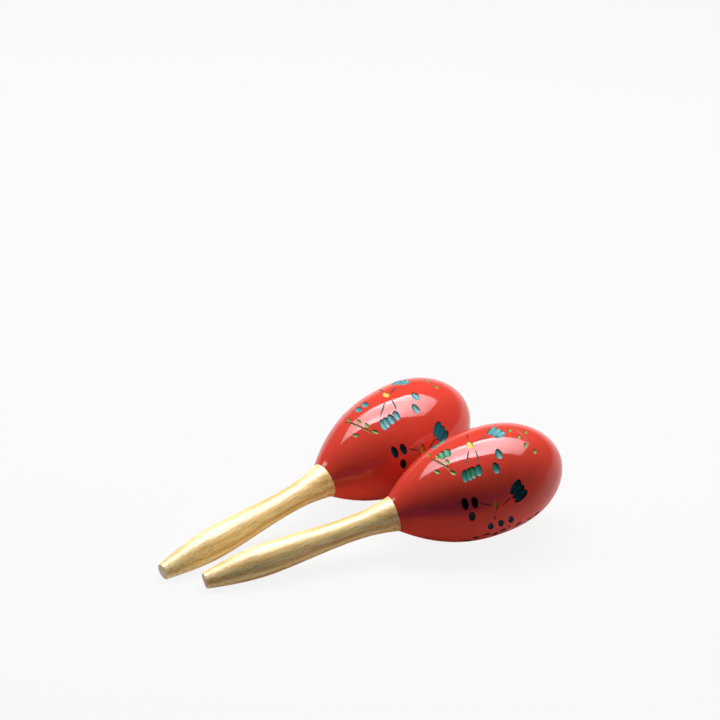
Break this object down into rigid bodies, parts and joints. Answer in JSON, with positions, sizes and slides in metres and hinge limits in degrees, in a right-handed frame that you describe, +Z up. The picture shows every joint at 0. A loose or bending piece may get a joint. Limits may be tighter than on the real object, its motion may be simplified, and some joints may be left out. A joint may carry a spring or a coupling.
{
  "type": "pair of maracas",
  "caption": "Pair of turned wooden maracas: hollow egg-shaped heads, lapped at the belly and filled with loose seeds, on tapered handles held by a tenon.",
  "frame": {"origin": "on the surface that the pair lies on, under the middle of the pair's bounding box", "axes": "+X along the front maraca from its handle to its head, seen from above; +Z up"},
  "size_m": [0.2432, 0.1328, 0.0664],
  "materials": {
    "handle_wood": "pale straight-grained wood with clear lacquer",
    "red_lacquered_wood": "gloss red lacquer on wood, with carved and painted flower sprays",
    "seed": "dry hard seed"
  },
  "bodies": {
    "front_maraca": {"front_handle": "handle_wood", "front_head_neck_half": "red_lacquered_wood", "front_head_crown_half": "red_lacquered_wood"},
    "front_seed_01": {"front_seed_01": "seed"},
    "front_seed_02": {"front_seed_02": "seed"},
    "front_seed_03": {"front_seed_03": "seed"},
    "front_seed_04": {"front_seed_04": "seed"},
    "front_seed_05": {"front_seed_05": "seed"},
    "front_seed_06": {"front_seed_06": "seed"},
    "front_seed_07": {"front_seed_07": "seed"},
    "front_seed_08": {"front_seed_08": "seed"},
    "front_seed_09": {"front_seed_09": "seed"},
    "front_seed_10": {"front_seed_10": "seed"},
    "front_seed_11": {"front_seed_11": "seed"},
    "front_seed_12": {"front_seed_12": "seed"},
    "front_seed_13": {"front_seed_13": "seed"},
    "front_seed_14": {"front_seed_14": "seed"},
    "front_seed_15": {"front_seed_15": "seed"},
    "front_seed_16": {"front_seed_16": "seed"},
    "front_seed_17": {"front_seed_17": "seed"},
    "front_seed_18": {"front_seed_18": "seed"},
    "front_seed_19": {"front_seed_19": "seed"},
    "front_seed_20": {"front_seed_20": "seed"},
    "front_seed_21": {"front_seed_21": "seed"},
    "front_seed_22": {"front_seed_22": "seed"},
    "front_seed_23": {"front_seed_23": "seed"},
    "front_seed_24": {"front_seed_24": "seed"},
    "rear_maraca": {"rear_handle": "handle_wood", "rear_head_neck_half": "red_lacquered_wood", "rear_head_crown_half": "red_lacquered_wood"},
    "rear_seed_01": {"rear_seed_01": "seed"},
    "rear_seed_02": {"rear_seed_02": "seed"},
    "rear_seed_03": {"rear_seed_03": "seed"},
    "rear_seed_04": {"rear_seed_04": "seed"},
    "rear_seed_05": {"rear_seed_05": "seed"},
    "rear_seed_06": {"rear_seed_06": "seed"},
    "rear_seed_07": {"rear_seed_07": "seed"},
    "rear_seed_08": {"rear_seed_08": "seed"},
    "rear_seed_09": {"rear_seed_09": "seed"},
    "rear_seed_10": {"rear_seed_10": "seed"},
    "rear_seed_11": {"rear_seed_11": "seed"},
    "rear_seed_12": {"rear_seed_12": "seed"},
    "rear_seed_13": {"rear_seed_13": "seed"},
    "rear_seed_14": {"rear_seed_14": "seed"},
    "rear_seed_15": {"rear_seed_15": "seed"},
    "rear_seed_16": {"rear_seed_16": "seed"},
    "rear_seed_17": {"rear_seed_17": "seed"},
    "rear_seed_18": {"rear_seed_18": "seed"},
    "rear_seed_19": {"rear_seed_19": "seed"},
    "rear_seed_20": {"rear_seed_20": "seed"},
    "rear_seed_21": {"rear_seed_21": "seed"},
    "rear_seed_22": {"rear_seed_22": "seed"},
    "rear_seed_23": {"rear_seed_23": "seed"},
    "rear_seed_24": {"rear_seed_24": "seed"}
  },
  "joints": [
    {"name": "front_seed_01_rattle", "type": "slide", "parent": "front_maraca", "child": "front_seed_01", "axis": [-0.1619, 0, 0.9868], "range_m": [0, 0.03485]},
    {"name": "front_seed_02_rattle", "type": "slide", "parent": "front_maraca", "child": "front_seed_02", "axis": [-0.1619, 0, 0.9868], "range_m": [0, 0.03967]},
    {"name": "front_seed_03_rattle", "type": "slide", "parent": "front_maraca", "child": "front_seed_03", "axis": [-0.1619, 0, 0.9868], "range_m": [0, 0.04314]},
    {"name": "front_seed_04_rattle", "type": "slide", "parent": "front_maraca", "child": "front_seed_04", "axis": [-0.1619, 0, 0.9868], "range_m": [0, 0.0454]},
    {"name": "front_seed_05_rattle", "type": "slide", "parent": "front_maraca", "child": "front_seed_05", "axis": [-0.1619, 0, 0.9868], "range_m": [0, 0.04657]},
    {"name": "front_seed_06_rattle", "type": "slide", "parent": "front_maraca", "child": "front_seed_06", "axis": [-0.1619, 0, 0.9868], "range_m": [0, 0.04684]},
    {"name": "front_seed_07_rattle", "type": "slide", "parent": "front_maraca", "child": "front_seed_07", "axis": [-0.1619, 0, 0.9868], "range_m": [0, 0.03901]},
    {"name": "front_seed_08_rattle", "type": "slide", "parent": "front_maraca", "child": "front_seed_08", "axis": [-0.1619, 0, 0.9868], "range_m": [0, 0.04337]},
    {"name": "front_seed_09_rattle", "type": "slide", "parent": "front_maraca", "child": "front_seed_09", "axis": [-0.1619, 0, 0.9868], "range_m": [0, 0.04657]},
    {"name": "front_seed_10_rattle", "type": "slide", "parent": "front_maraca", "child": "front_seed_10", "axis": [-0.1619, 0, 0.9868], "range_m": [0, 0.04866]},
    {"name": "front_seed_11_rattle", "type": "slide", "parent": "front_maraca", "child": "front_seed_11", "axis": [-0.1619, 0, 0.9868], "range_m": [0, 0.04976]},
    {"name": "front_seed_12_rattle", "type": "slide", "parent": "front_maraca", "child": "front_seed_12", "axis": [-0.1619, 0, 0.9868], "range_m": [0, 0.05001]},
    {"name": "front_seed_13_rattle", "type": "slide", "parent": "front_maraca", "child": "front_seed_13", "axis": [-0.1619, 0, 0.9868], "range_m": [0, 0.03901]},
    {"name": "front_seed_14_rattle", "type": "slide", "parent": "front_maraca", "child": "front_seed_14", "axis": [-0.1619, 0, 0.9868], "range_m": [0, 0.04337]},
    {"name": "front_seed_15_rattle", "type": "slide", "parent": "front_maraca", "child": "front_seed_15", "axis": [-0.1619, 0, 0.9868], "range_m": [0, 0.04657]},
    {"name": "front_seed_16_rattle", "type": "slide", "parent": "front_maraca", "child": "front_seed_16", "axis": [-0.1619, 0, 0.9868], "range_m": [0, 0.04866]},
    {"name": "front_seed_17_rattle", "type": "slide", "parent": "front_maraca", "child": "front_seed_17", "axis": [-0.1619, 0, 0.9868], "range_m": [0, 0.04976]},
    {"name": "front_seed_18_rattle", "type": "slide", "parent": "front_maraca", "child": "front_seed_18", "axis": [-0.1619, 0, 0.9868], "range_m": [0, 0.05001]},
    {"name": "front_seed_19_rattle", "type": "slide", "parent": "front_maraca", "child": "front_seed_19", "axis": [-0.1619, 0, 0.9868], "range_m": [0, 0.03485]},
    {"name": "front_seed_20_rattle", "type": "slide", "parent": "front_maraca", "child": "front_seed_20", "axis": [-0.1619, 0, 0.9868], "range_m": [0, 0.03967]},
    {"name": "front_seed_21_rattle", "type": "slide", "parent": "front_maraca", "child": "front_seed_21", "axis": [-0.1619, 0, 0.9868], "range_m": [0, 0.04314]},
    {"name": "front_seed_22_rattle", "type": "slide", "parent": "front_maraca", "child": "front_seed_22", "axis": [-0.1619, 0, 0.9868], "range_m": [0, 0.0454]},
    {"name": "front_seed_23_rattle", "type": "slide", "parent": "front_maraca", "child": "front_seed_23", "axis": [-0.1619, 0, 0.9868], "range_m": [0, 0.04657]},
    {"name": "front_seed_24_rattle", "type": "slide", "parent": "front_maraca", "child": "front_seed_24", "axis": [-0.1619, 0, 0.9868], "range_m": [0, 0.04684]},
    {"name": "rear_maraca_lift", "type": "slide", "parent": "front_maraca", "child": "rear_maraca", "axis": [0, 0, 1], "range_m": [0, 0.12]},
    {"name": "rear_seed_01_rattle", "type": "slide", "parent": "rear_maraca", "child": "rear_seed_01", "axis": [-0.1554, -0.0454, 0.9868], "range_m": [0, 0.03485]},
    {"name": "rear_seed_02_rattle", "type": "slide", "parent": "rear_maraca", "child": "rear_seed_02", "axis": [-0.1554, -0.0454, 0.9868], "range_m": [0, 0.03967]},
    {"name": "rear_seed_03_rattle", "type": "slide", "parent": "rear_maraca", "child": "rear_seed_03", "axis": [-0.1554, -0.0454, 0.9868], "range_m": [0, 0.04314]},
    {"name": "rear_seed_04_rattle", "type": "slide", "parent": "rear_maraca", "child": "rear_seed_04", "axis": [-0.1554, -0.0454, 0.9868], "range_m": [0, 0.0454]},
    {"name": "rear_seed_05_rattle", "type": "slide", "parent": "rear_maraca", "child": "rear_seed_05", "axis": [-0.1554, -0.0454, 0.9868], "range_m": [0, 0.04657]},
    {"name": "rear_seed_06_rattle", "type": "slide", "parent": "rear_maraca", "child": "rear_seed_06", "axis": [-0.1554, -0.0454, 0.9868], "range_m": [0, 0.04684]},
    {"name": "rear_seed_07_rattle", "type": "slide", "parent": "rear_maraca", "child": "rear_seed_07", "axis": [-0.1554, -0.0454, 0.9868], "range_m": [0, 0.03901]},
    {"name": "rear_seed_08_rattle", "type": "slide", "parent": "rear_maraca", "child": "rear_seed_08", "axis": [-0.1554, -0.0454, 0.9868], "range_m": [0, 0.04337]},
    {"name": "rear_seed_09_rattle", "type": "slide", "parent": "rear_maraca", "child": "rear_seed_09", "axis": [-0.1554, -0.0454, 0.9868], "range_m": [0, 0.04657]},
    {"name": "rear_seed_10_rattle", "type": "slide", "parent": "rear_maraca", "child": "rear_seed_10", "axis": [-0.1554, -0.0454, 0.9868], "range_m": [0, 0.04866]},
    {"name": "rear_seed_11_rattle", "type": "slide", "parent": "rear_maraca", "child": "rear_seed_11", "axis": [-0.1554, -0.0454, 0.9868], "range_m": [0, 0.04976]},
    {"name": "rear_seed_12_rattle", "type": "slide", "parent": "rear_maraca", "child": "rear_seed_12", "axis": [-0.1554, -0.0454, 0.9868], "range_m": [0, 0.05001]},
    {"name": "rear_seed_13_rattle", "type": "slide", "parent": "rear_maraca", "child": "rear_seed_13", "axis": [-0.1554, -0.0454, 0.9868], "range_m": [0, 0.03901]},
    {"name": "rear_seed_14_rattle", "type": "slide", "parent": "rear_maraca", "child": "rear_seed_14", "axis": [-0.1554, -0.0454, 0.9868], "range_m": [0, 0.04337]},
    {"name": "rear_seed_15_rattle", "type": "slide", "parent": "rear_maraca", "child": "rear_seed_15", "axis": [-0.1554, -0.0454, 0.9868], "range_m": [0, 0.04657]},
    {"name": "rear_seed_16_rattle", "type": "slide", "parent": "rear_maraca", "child": "rear_seed_16", "axis": [-0.1554, -0.0454, 0.9868], "range_m": [0, 0.04866]},
    {"name": "rear_seed_17_rattle", "type": "slide", "parent": "rear_maraca", "child": "rear_seed_17", "axis": [-0.1554, -0.0454, 0.9868], "range_m": [0, 0.04976]},
    {"name": "rear_seed_18_rattle", "type": "slide", "parent": "rear_maraca", "child": "rear_seed_18", "axis": [-0.1554, -0.0454, 0.9868], "range_m": [0, 0.05001]},
    {"name": "rear_seed_19_rattle", "type": "slide", "parent": "rear_maraca", "child": "rear_seed_19", "axis": [-0.1554, -0.0454, 0.9868], "range_m": [0, 0.03485]},
    {"name": "rear_seed_20_rattle", "type": "slide", "parent": "rear_maraca", "child": "rear_seed_20", "axis": [-0.1554, -0.0454, 0.9868], "range_m": [0, 0.03967]},
    {"name": "rear_seed_21_rattle", "type": "slide", "parent": "rear_maraca", "child": "rear_seed_21", "axis": [-0.1554, -0.0454, 0.9868], "range_m": [0, 0.04314]},
    {"name": "rear_seed_22_rattle", "type": "slide", "parent": "rear_maraca", "child": "rear_seed_22", "axis": [-0.1554, -0.0454, 0.9868], "range_m": [0, 0.0454]},
    {"name": "rear_seed_23_rattle", "type": "slide", "parent": "rear_maraca", "child": "rear_seed_23", "axis": [-0.1554, -0.0454, 0.9868], "range_m": [0, 0.04657]},
    {"name": "rear_seed_24_rattle", "type": "slide", "parent": "rear_maraca", "child": "rear_seed_24", "axis": [-0.1554, -0.0454, 0.9868], "range_m": [0, 0.04684]}
  ]
}
